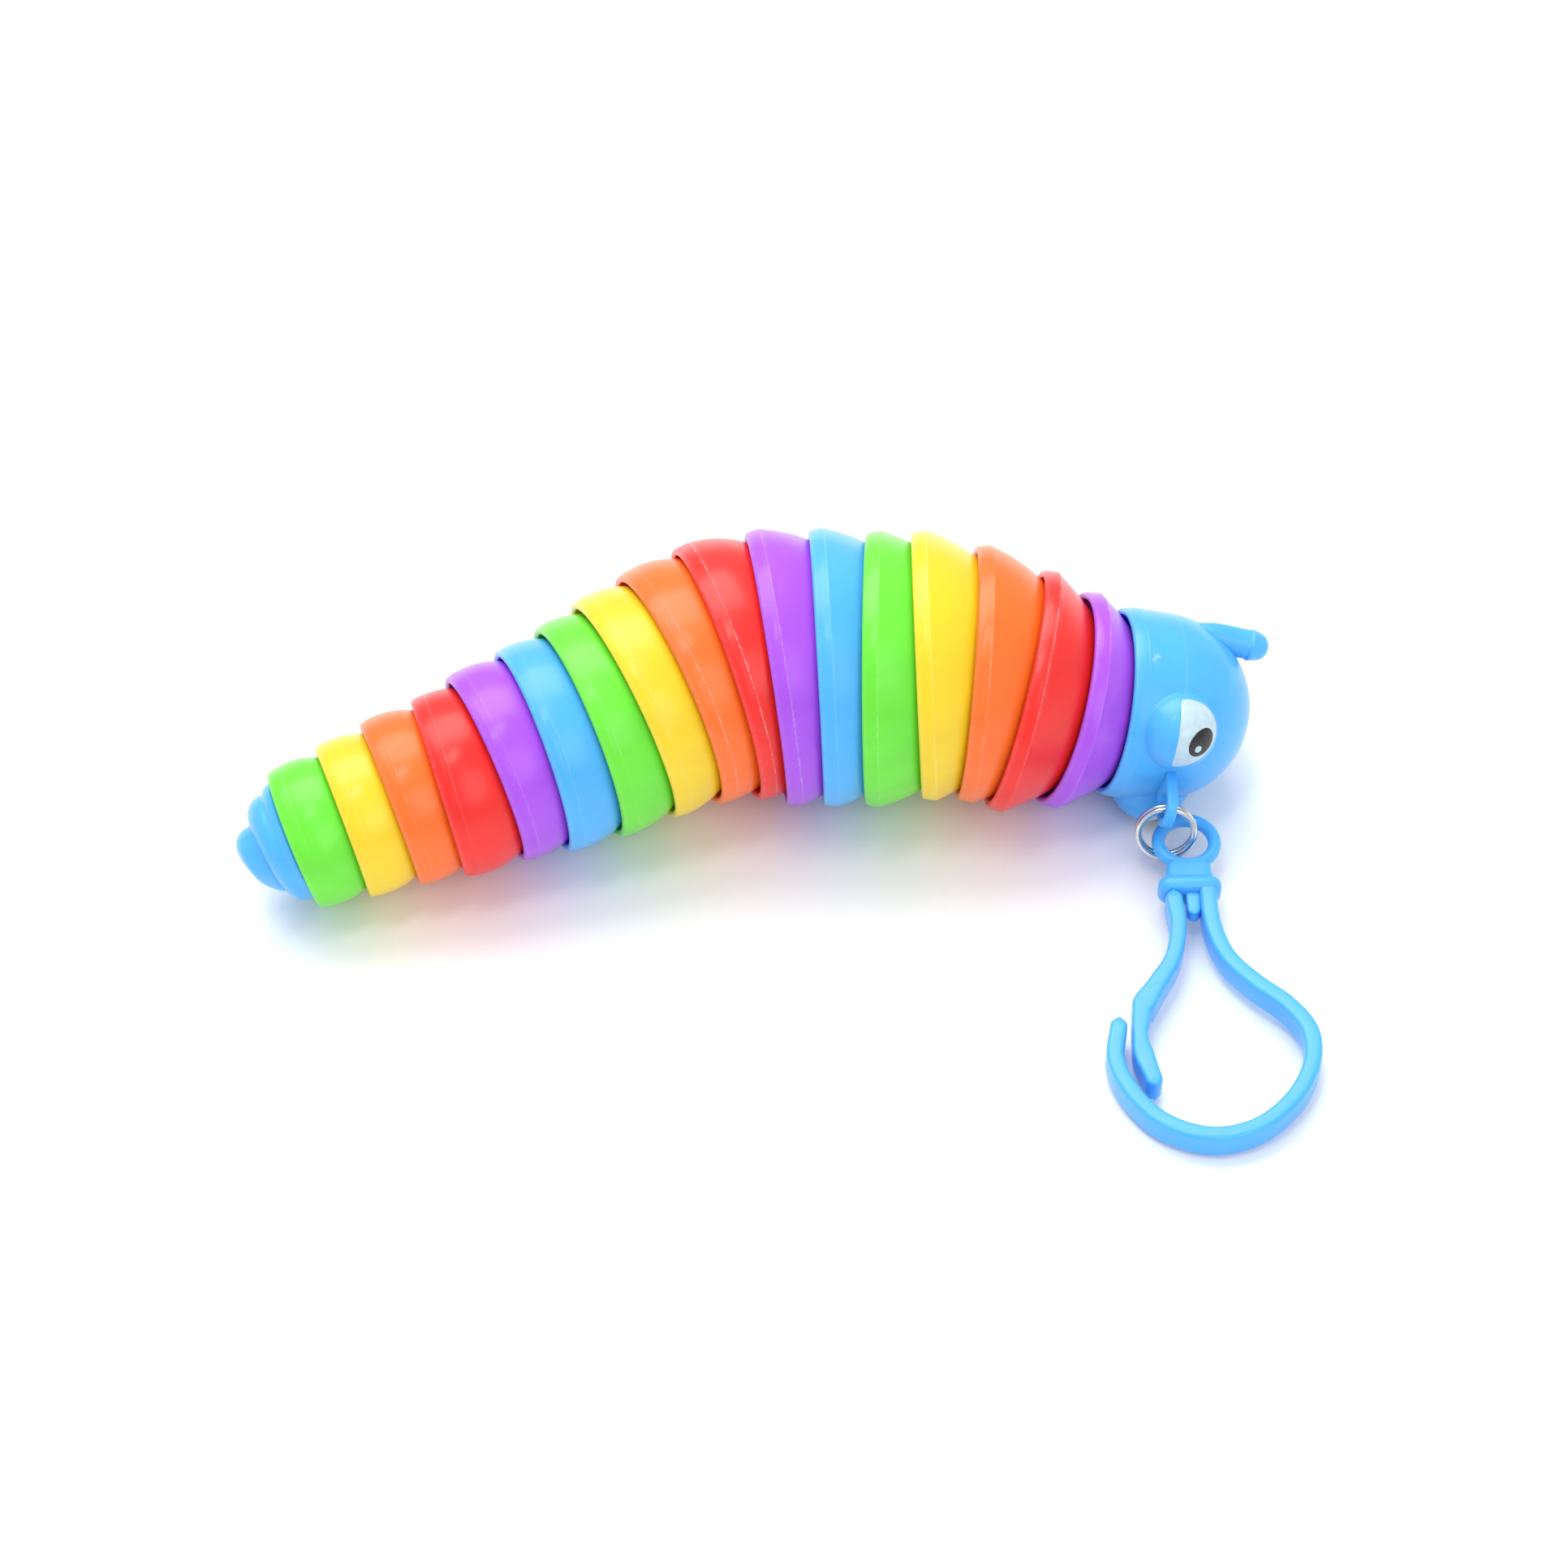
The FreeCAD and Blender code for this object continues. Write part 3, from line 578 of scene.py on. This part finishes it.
def head_line():
    """Outline of the head: ball, post, inside of the dome, lip, neck and dome."""
    rim = RIM[HEAD]
    run = NOSE_X - CHEEK[0]
    curve = (run ** 2 + CHEEK[1] ** 2) / (2 * run)
    middle = NOSE_X - curve
    shell = curve - HEAD_WALL
    top = middle + math.sqrt(shell ** 2 - POST ** 2)
    bay = (CHEEK[0], CHEEK[1] - HEAD_WALL)
    points = ball_end(socket_x(HEAD - 1) - PITCH)
    points += rounded(points[-1], (-1.7, 0.9), (-0.8, 1.3), 0.15, 2)
    points += rounded((-1.7, 0.9), (-0.8, 1.4), (top, POST), 0.1, 2)
    points += split((-0.8, 1.4), (top, POST), 5)
    points += rounded((-0.8, 1.4), (top, POST), (top - 0.1, POST + 2), 0.4, 3)
    points += arc((top, POST), (middle + SLANT * shell, SLANT * shell), bay, 14)[2:]
    points += split(bay, (0.45, rim - LIP), 4)
    points += lip_line(rim)
    points += split((1.8, rim + SWELL), CHEEK, NECK_STEPS)
    points += arc(CHEEK, (middle + SLANT * curve, SLANT * curve), (NOSE_X, 0.0), DOME_STEPS)
    return points


def bulge_radius(side, x, angle):
    """How far one eye bulge reaches from the head's axis, and nothing where it isn't."""
    turn = math.radians(ROLL + side * EYE_SPREAD)
    away = angle - math.atan2(math.sin(turn), -math.cos(turn))
    reach = EYE_REACH[side]
    chord = EYE_RADIUS ** 2 - (x - EYE_X) ** 2 - (reach * np.sin(away)) ** 2
    there = (chord > 0) & (np.cos(away) > 0)
    return np.where(there, reach * np.cos(away) + np.sqrt(np.maximum(chord, 0)), 0)


def head_marks(x, angle):
    """The pale seam under the eyes, and one small scuff on the head's side."""
    seam = np.exp(-((x - EYE_X) / 0.10) ** 2) * 0.10
    bearing = np.degrees(np.arctan2(np.sin(angle), -np.cos(angle)))
    speck = 0.5 + 0.5 * wave(angle * 9, 5, range(3, 9), 0.2)
    ragged = SCUFF_X + 0.25 * np.sin(bearing)
    scuff = np.exp(-((x - ragged) / 0.30) ** 2 - ((bearing - SCUFF_BEARING) / 3.2) ** 2) * speck
    return seam, scuff * 1.3


def head_shape(x, r, angle):
    """Raise the two eye bulges out of the dome with a small fillet, and keep the parting line."""
    x, r, edge = flash_shape(HEAD, 9.0)(x, r, angle)
    outside = np.arange(x.shape[0])[:, None] > x.shape[0] - OUTSIDE_ROWS
    for side in (-1, 1):
        bulge = bulge_radius(side, x, angle)
        gap = np.clip(0.5 + 0.5 * (bulge - r) / 0.12, 0, 1)
        blended = r * (1 - gap) + bulge * gap + 0.06 * gap * (1 - gap)
        r = np.where(outside & (bulge > 0), np.maximum(r, blended), r)
    seam, scuff = head_marks(x, angle)
    return x, r, np.maximum.reduce([edge, seam * outside, scuff])


def around(angle, reach, x):
    """A place beside the head's axis, by its bearing."""
    turn = math.radians(angle)
    return Vector((x, -reach * math.cos(turn), reach * math.sin(turn)))


def frame_at(origin, forward, side):
    """Matrix whose first axis points forward and whose second leans to the side."""
    forward = forward.normalized()
    up = forward.cross(side).normalized()
    side = up.cross(forward)
    matrix = Matrix((forward, side, up)).transposed().to_4x4()
    matrix.translation = origin
    return matrix


HORN_SPREAD, HORN_TIP_OUT = 129.0, math.radians(6)
HORN_COLLAR = 7.8                        # where the fine ring near a feeler's tip stands
HORN_LINE = ((0.0, 0.0), (0.0, 0.4), (1.0, 1.0), (2.0, 1.35), (3.2, 1.60), (4.6, 1.70), (6.0, 1.71),
             (7.4, 1.70), (7.6, 1.72), (7.7, 1.80), (7.8, 1.83), (7.9, 1.81), (8.1, 1.80), (8.16, 1.76),
             (8.4, 1.74), (8.45, 1.70), (8.7, 1.66))
HORN_TIP = ((8.76, 1.62), (9.65, 1.12), (10.03, 0.0))


def make_horn(number, side):
    """A feeler that grows out of the back of the head, with fine rings before its round tip."""
    spread = ROLL + side * HORN_SPREAD
    start = around(spread, 9.2, 7.0)
    outward = around(spread, -1.0, 0.0) * math.sin(HORN_TIP_OUT)
    forward = Vector((math.cos(HORN_TIP_OUT), 0, 0)) + outward
    vertices, faces, _ = turned([*HORN_LINE, *arc(*HORN_TIP, 12)], 48)
    edge = np.exp(-((vertices[:, 0] - HORN_COLLAR) / 0.06) ** 2) * 0.15
    place = PLACES[HEAD] @ frame_at(start, forward, Vector((0, 1, 0)))
    return add_object("horn_%d" % number, vertices, faces, "blue", place, "head_blue", edge)


TAB_X, TAB_REACH, TAB_ROOT = 6.0, 13.4, 3.8
TAB_THICK, TAB_RADIUS, TAB_HOLE = 1.2, 2.4, 1.5


def tab_section(reach, ease=0.22):
    """Section of the tab from the edge of its hole to its outer edge, both eased."""
    half, soft = TAB_THICK / 2, 0.3 * ease
    section = [(TAB_HOLE, 0), (TAB_HOLE, half - ease), (TAB_HOLE + soft, half - soft),
               (TAB_HOLE + ease, half), ((TAB_HOLE + reach) / 2, half), (reach - ease, half),
               (reach - soft, half - soft), (reach, half - ease), (reach, 0)]
    return section + [(out, -up) for out, up in reversed(section[1:-1])]


def make_tab(steps=72):
    """The loop between the two eyes: a plate with a hole, round outside and square at the head."""
    vertices = []
    for step in range(steps):
        along, aside = math.cos(TAU * step / steps), math.sin(TAU * step / steps)
        reach = TAB_RADIUS
        if along < 0:
            reach = min(TAB_ROOT / max(1e-6, -along), TAB_RADIUS / max(1e-6, abs(aside)))
        section = tab_section(reach)
        vertices += [(up, along * out, aside * out) for out, up in section]
    faces = grid_faces(steps, len(section), True)
    place = frame_at(around(ROLL, TAB_REACH, TAB_X), Vector((1, 0, 0)), around(ROLL, 1.0, 0.0))
    plain_edge = np.zeros(len(vertices))
    return add_object("loop_tab", vertices, faces, "blue", PLACES[HEAD] @ place, "head_blue", plain_edge)


# The print on a bulge, in units of the bulge's radius: forward, and away from the tab.
WHITE_LINE = ((-0.17, 0.80), (-0.19, 0.45), (-0.19, 0.10), (-0.19, -0.30), (-0.15, -0.74), (-0.02, -0.78),
              (0.22, -0.70), (0.50, -0.52), (0.72, -0.26), (0.84, 0.05), (0.84, 0.35), (0.68, 0.62),
              (0.42, 0.82), (0.12, 0.90), (-0.10, 0.89))
PUPIL, PUPIL_RADII = (0.42, -0.04), (0.41, 0.31)
GLINT, GLINT_RADII = (0.36, -0.20), (0.10, 0.085)
EYE_TILT = 62
WHITE_LIFT, PUPIL_LIFT, GLINT_LIFT = 0.035, 0.06, 0.08


def eye_patch(name, side, outline, lift, material, rings=14):
    """A printed patch that follows the bulge, inside a smooth closed outline."""
    forward = Vector((1, 0, 0))
    outward = around(ROLL + side * EYE_SPREAD, 1.0, 0.0)
    upward = outward.cross(forward) * side
    centre = around(ROLL + side * EYE_SPREAD, EYE_REACH[side], EYE_X)

    def on_bulge(flat, radius):
        height = math.sqrt(max(0.0, 1 - flat @ flat))
        return tuple(centre + (forward * flat[0] + upward * flat[1] + outward * height) * radius)

    middle = np.mean(outline, axis=0)
    vertices = []
    for ring in range(1, rings + 1):
        radius = EYE_RADIUS + (lift if ring < rings else 0.0)
        vertices += [on_bulge(middle + (point - middle) * ring / rings, radius) for point in outline]
    vertices.append(on_bulge(middle, EYE_RADIUS + lift))
    count = len(outline)
    faces = grid_faces(rings, count)
    faces += [(rings * count, column, (column + 1) % count) for column in range(count)]
    if side < 0:
        faces = flipped(faces)
    return add_object(name, vertices, faces, material, PLACES[HEAD], "head_blue", None, 80)


def make_eye(side, word):
    """White, pupil and glint of one eye."""
    white = closed_curve(WHITE_LINE, 8)
    pupil = oval(PUPIL, PUPIL_RADII, EYE_TILT, 56)
    glint = oval(GLINT, GLINT_RADII, EYE_TILT, 28)
    # The eye white and the glint use the white ink darkened with painted shade.
    eye_patch("eye_white_" + word, side, white, WHITE_LIFT, "white_ink_painted_shade")
    eye_patch("pupil_" + word, side, pupil, PUPIL_LIFT, "black_ink")
    eye_patch("glint_" + word, side, glint, GLINT_LIFT, "white_ink_painted_shade")


def make_head():
    vertices, faces, edge = turned(head_line(), HEAD_TURN, head_shape)
    item = add_object("head_shell", vertices, faces, "blue", PLACES[HEAD], "head_blue", edge)
    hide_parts("head_blue")
    make_horn(1, -1)
    make_horn(2, 1)
    make_tab()
    make_eye(1, "near")
    make_eye(-1, "far")


# ---------------------------------------------------------------- hook and split ring

EYE_RING, EYE_WIRE, EYE_SHIFT, PLAY = 3.15, 0.75, 0.8, 0.05
SPLIT_RADIUS, SPLIT_WIRE, SPLIT_STEP = 3.15, 0.36, 0.33
SPLIT_TURNS, SPLIT_START = 1.98, 0.6     # how often the wire goes round, and the angle where it starts
LEAN = Matrix.Rotation(math.radians(-16.0), 3, "X")
HOOK_TILT = 2.8
HOOK_THICK, NECK_THICK, WEB_THICK = 3.3, 2.3, 1.8
COLLAR_SPAN, COLLAR_WIDTH, COLLAR_THICK = (-7.75, -5.65), 7.1, 3.9

HOOK_LINE = ((1.9, -6.7), (2.2, -12.2), (3.6, -16.7), (6.5, -20.3), (9.8, -23.3), (12.0, -26.9),
             (11.9, -31.3), (9.6, -35.9), (5.6, -39.5), (0.6, -40.7), (-4.4, -38.9), (-7.7, -35.1),
             (-9.3, -30.7), (-8.8, -26.3))
HOOK_WIDTHS = (1.9,) * 3 + (2.0,) * 3 + (1.9,) * 8
GATE_LINE = ((-1.9, -8.8), (-1.6, -12.5), (-2.4, -16.9), (-4.3, -20.5), (-5.8, -23.1), (-6.2, -24.5),
             (-6.5, -27.6), (-6.2, -30.2), (-5.3, -33.4))
GATE_WIDTHS = (1.9, 1.8, 1.8, 2.1, 2.6, 2.1, 1.7, 2.2, 1.9)
NECK_LINE = ((0.0, -3.15), (0.0, -3.9), (0.0, -5.2), (0.0, -6.3))
NECK_WIDTHS = (4.2, 5.1, 5.3, 5.6)
WEB_LINE = ((0.3, -7.3), (0.3, -8.7), (0.3, -9.9))
WEB_WIDTHS = (1.7, 1.6, 1.5)
SECTION_STEPS, CAP_STEPS = 5, 6


def bar_section(width, thick, ease):
    """A rounded rectangle, as (across, up) pairs."""
    ease = min(ease, width / 2 - 1e-3, thick / 2 - 1e-3)
    out, up = width / 2 - ease, thick / 2 - ease
    points = []
    for corner, (sx, sy) in enumerate(((1, 1), (-1, 1), (-1, -1), (1, -1))):
        for k in range(SECTION_STEPS + 1):
            turn = math.radians(90 * corner + 90 * k / SECTION_STEPS)
            points.append((sx * out + ease * math.cos(turn), sy * up + ease * math.sin(turn)))
    return points


def round_cap(place, heading, width, thick, ease, turns):
    """Stations of a bar's round end, which is before the place where the turns are negative."""
    stations = []
    for turn in turns:
        middle = place + heading * width / 2 * math.sin(turn)
        narrowed = width * max(0.05, math.cos(turn))
        stations.append((middle, heading, narrowed, thick - 0.6 * ease * abs(math.sin(turn))))
    return stations


def bar(middles, widths, thick, ease, steps=14, round_start=True, round_end=True):
    """A strip of rounded-rectangle section swept along a smooth line in the plane."""
    places, sizes = spline(middles, widths, steps)
    headings = np.gradient(places, axis=0)
    headings /= np.linalg.norm(headings, axis=1)[:, None]
    turns = [math.pi / 2 * k / CAP_STEPS for k in range(1, CAP_STEPS + 1)]
    stations = [(place, heading, width, thick) for place, heading, width in zip(places, headings, sizes)]
    if round_start:
        before = [-turn for turn in reversed(turns)]
        stations = round_cap(places[0], headings[0], sizes[0], thick, ease, before) + stations
    if round_end:
        stations += round_cap(places[-1], headings[-1], sizes[-1], thick, ease, turns)
    vertices = []
    for place, heading, width, high in stations:
        across = np.array((-heading[1], heading[0]))
        vertices += [(*(place + across * out), up) for out, up in bar_section(width, high, ease)]
    rows, count = len(stations), 4 * (SECTION_STEPS + 1)
    return vertices, grid_faces(rows, count) + end_caps(rows, count)


def band(low, high, width, thick, ease, bulge=0.8, steps=10):
    """A short rounded-rectangle block along y whose sides are round like a bead."""
    vertices = []
    for k in range(steps + 1):
        turn = math.pi * (k / steps - 0.5)
        inset = 2 * bulge * (1 - math.cos(turn))
        y = (low + high) / 2 + (high - low) / 2 * math.sin(turn)
        vertices += [(out, y, up) for out, up in bar_section(width - inset, thick - inset, ease)]
    count = 4 * (SECTION_STEPS + 1)
    return vertices, flipped(grid_faces(steps + 1, count) + end_caps(steps + 1, count))


def merge(parts):
    """Join several vertex and face lists into one."""
    vertices, faces = [], []
    for points, quads in parts:
        start = len(vertices)
        vertices += [tuple(point) for point in points]
        faces += [tuple(index + start for index in face) for face in quads]
    return vertices, faces


def torus(radius, wire, steps=96, sides=28):
    """A round ring of round wire, lying flat."""
    vertices = []
    for step in range(steps):
        angle = TAU * step / steps
        for side in range(sides):
            turn = TAU * side / sides
            out = radius + wire * math.cos(turn)
            vertices.append((out * math.cos(angle), out * math.sin(angle), wire * math.sin(turn)))
    return vertices, flipped(grid_faces(steps, sides, True))


def hook_place():
    """The hook's own frame, from the place where it hangs on the split ring."""
    wire_reach = SPLIT_RADIUS - SPLIT_STEP - SPLIT_WIRE - PLAY - EYE_WIRE
    rise = SPLIT_RADIUS - math.sqrt(wire_reach ** 2 - EYE_SHIFT ** 2)
    middle = joint_place("clip_swing") + LEAN @ Vector((EYE_RING - EYE_SHIFT, 0, rise))
    return Matrix.Translation(middle) @ Matrix.Rotation(math.radians(HOOK_TILT), 4, "X")


def make_hook():
    """The hook with its eye, neck, collar, arm and web as one piece, and its gate as another."""
    place = hook_place()
    arm = bar(HOOK_LINE, HOOK_WIDTHS, HOOK_THICK, 0.5, round_start=False)
    neck = bar(NECK_LINE, NECK_WIDTHS, NECK_THICK, 0.8, 6, False, False)
    collar = band(*COLLAR_SPAN, COLLAR_WIDTH, COLLAR_THICK, 1.3)
    web = bar(WEB_LINE, WEB_WIDTHS, WEB_THICK, 0.3, 6, False, True)
    body = merge([torus(EYE_RING, EYE_WIRE), neck, collar, arm, web])
    gate = bar(GATE_LINE, GATE_WIDTHS, HOOK_THICK, 0.45)
    for name, (vertices, faces), node in (("hook_body", body, "clip"), ("hook_gate", gate, "clip_gate")):
        item = add_object(name, vertices, faces, "clip_blue", place, node, np.zeros(len(vertices)), 50)
        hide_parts(node)


def squared(turn, size, power=2.6):
    """A point on the rim of a wire whose round section is pressed a little square."""
    c, s = math.cos(turn), math.sin(turn)
    scale = size / (abs(c) ** power + abs(s) ** power) ** (1 / power)
    return scale * c, scale * s * 0.93


def make_split_ring(steps=300, sides=20):
    """Two turns of flattened wire wound side by side, with square-cut ends."""
    vertices = []
    for step in range(steps + 1):
        part = step / steps
        angle = TAU * SPLIT_TURNS * part + SPLIT_START
        crossing = min(1.0, max(0.0, (part - 0.44) / 0.12))
        outward = Vector((math.cos(angle), 0, math.sin(angle)))
        centre = outward * SPLIT_RADIUS + Vector((0, SPLIT_STEP * (2 * crossing - 1), -SPLIT_RADIUS))
        for side in range(sides):
            out, aside = squared(TAU * side / sides, SPLIT_WIRE)
            vertices.append(tuple(centre + outward * out + Vector((0, aside, 0))))
    faces = grid_faces(steps + 1, sides) + end_caps(steps + 1, sides)
    place = Matrix.Translation(joint_place("ring_swing")) @ LEAN.to_4x4()
    item = add_object("split_ring_wire", vertices, faces, "nickel", place, "split_ring", None, 50)
    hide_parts("split_ring")


# ---------------------------------------------------------------- stage

def make_floor(size=3.0, drop=0.00002):
    """A large sheet of white paper, a hair below the piece."""
    graph = Graph("paper")
    tone = graph.mixed(graph.noise(3.0, 2.0), (0.90, 0.91, 0.925), (0.93, 0.935, 0.945))
    graph.join(tone, graph.shader.inputs["Base Color"])
    graph.shader.inputs["Roughness"].default_value = 0.65
    mesh = bpy.data.meshes.new("floor")
    corners = [(-size, -size, -drop), (size, -size, -drop), (size, size, -drop), (-size, size, -drop)]
    mesh.from_pydata(corners, [], [(0, 1, 2, 3)])
    mesh.materials.append(graph.material)
    item = bpy.data.objects.new("floor", mesh)
    bpy.context.scene.collection.objects.link(item)


def area_light(name, place, size, power, colour=(1, 1, 1)):
    """A soft box that looks at the middle of the slug."""
    light = bpy.data.lights.new(name, "AREA")
    light.shape = "RECTANGLE"
    light.size, light.size_y = size
    light.energy = power
    light.color = colour
    item = bpy.data.objects.new(name, light)
    item.location = place
    item.rotation_euler = (Vector((0, 0, 0.01)) - Vector(place)).to_track_quat("-Z", "Y").to_euler()
    bpy.context.scene.collection.objects.link(item)


SKY, SKY_STRENGTH = (0.95, 0.97, 1.0, 1), 0.74


def make_lights():
    """An even bright sky, a large key from behind, a narrow glint from above and a fill from the front."""
    world = bpy.data.worlds.new("studio")
    world.use_nodes = True
    background = world.node_tree.nodes["Background"]
    background.inputs["Color"].default_value = SKY
    background.inputs["Strength"].default_value = SKY_STRENGTH
    bpy.context.scene.world = world
    area_light("key", (-0.20, 0.45, 0.85), size=(0.9, 0.7), power=8.0, colour=(1.0, 0.99, 0.97))
    area_light("glint", (-0.10, -0.12, 0.75), size=(0.10, 0.30), power=0.9)
    area_light("fill", (0.35, -0.60, 0.60), size=(0.6, 0.6), power=2.2, colour=(0.96, 0.98, 1.0))


CAMERA_TARGET = Vector((1.15, 16.92, 1.07)) * MM
CAMERA_TILT, CAMERA_AWAY = math.radians(48.22), 0.5573


def make_camera():
    """A long lens that looks down on the slug from the front."""
    camera = bpy.data.cameras.new("camera")
    camera.sensor_width = 36.0
    camera.lens = 111.8
    camera.clip_start = 0.01
    camera.clip_end = 20.0
    item = bpy.data.objects.new("camera", camera)
    item.location = CAMERA_TARGET + Vector((0, -math.cos(CAMERA_TILT), math.sin(CAMERA_TILT))) * CAMERA_AWAY
    item.rotation_euler = (CAMERA_TARGET - item.location).to_track_quat("-Z", "Y").to_euler()
    bpy.context.scene.collection.objects.link(item)
    bpy.context.scene.camera = item
    bpy.context.scene.view_settings.view_transform = "Standard"


make_tail()
for number in range(1, RINGS + 1):
    make_ring(number)
make_head()
make_hook()
make_split_ring()
make_floor()
make_lights()
make_camera()
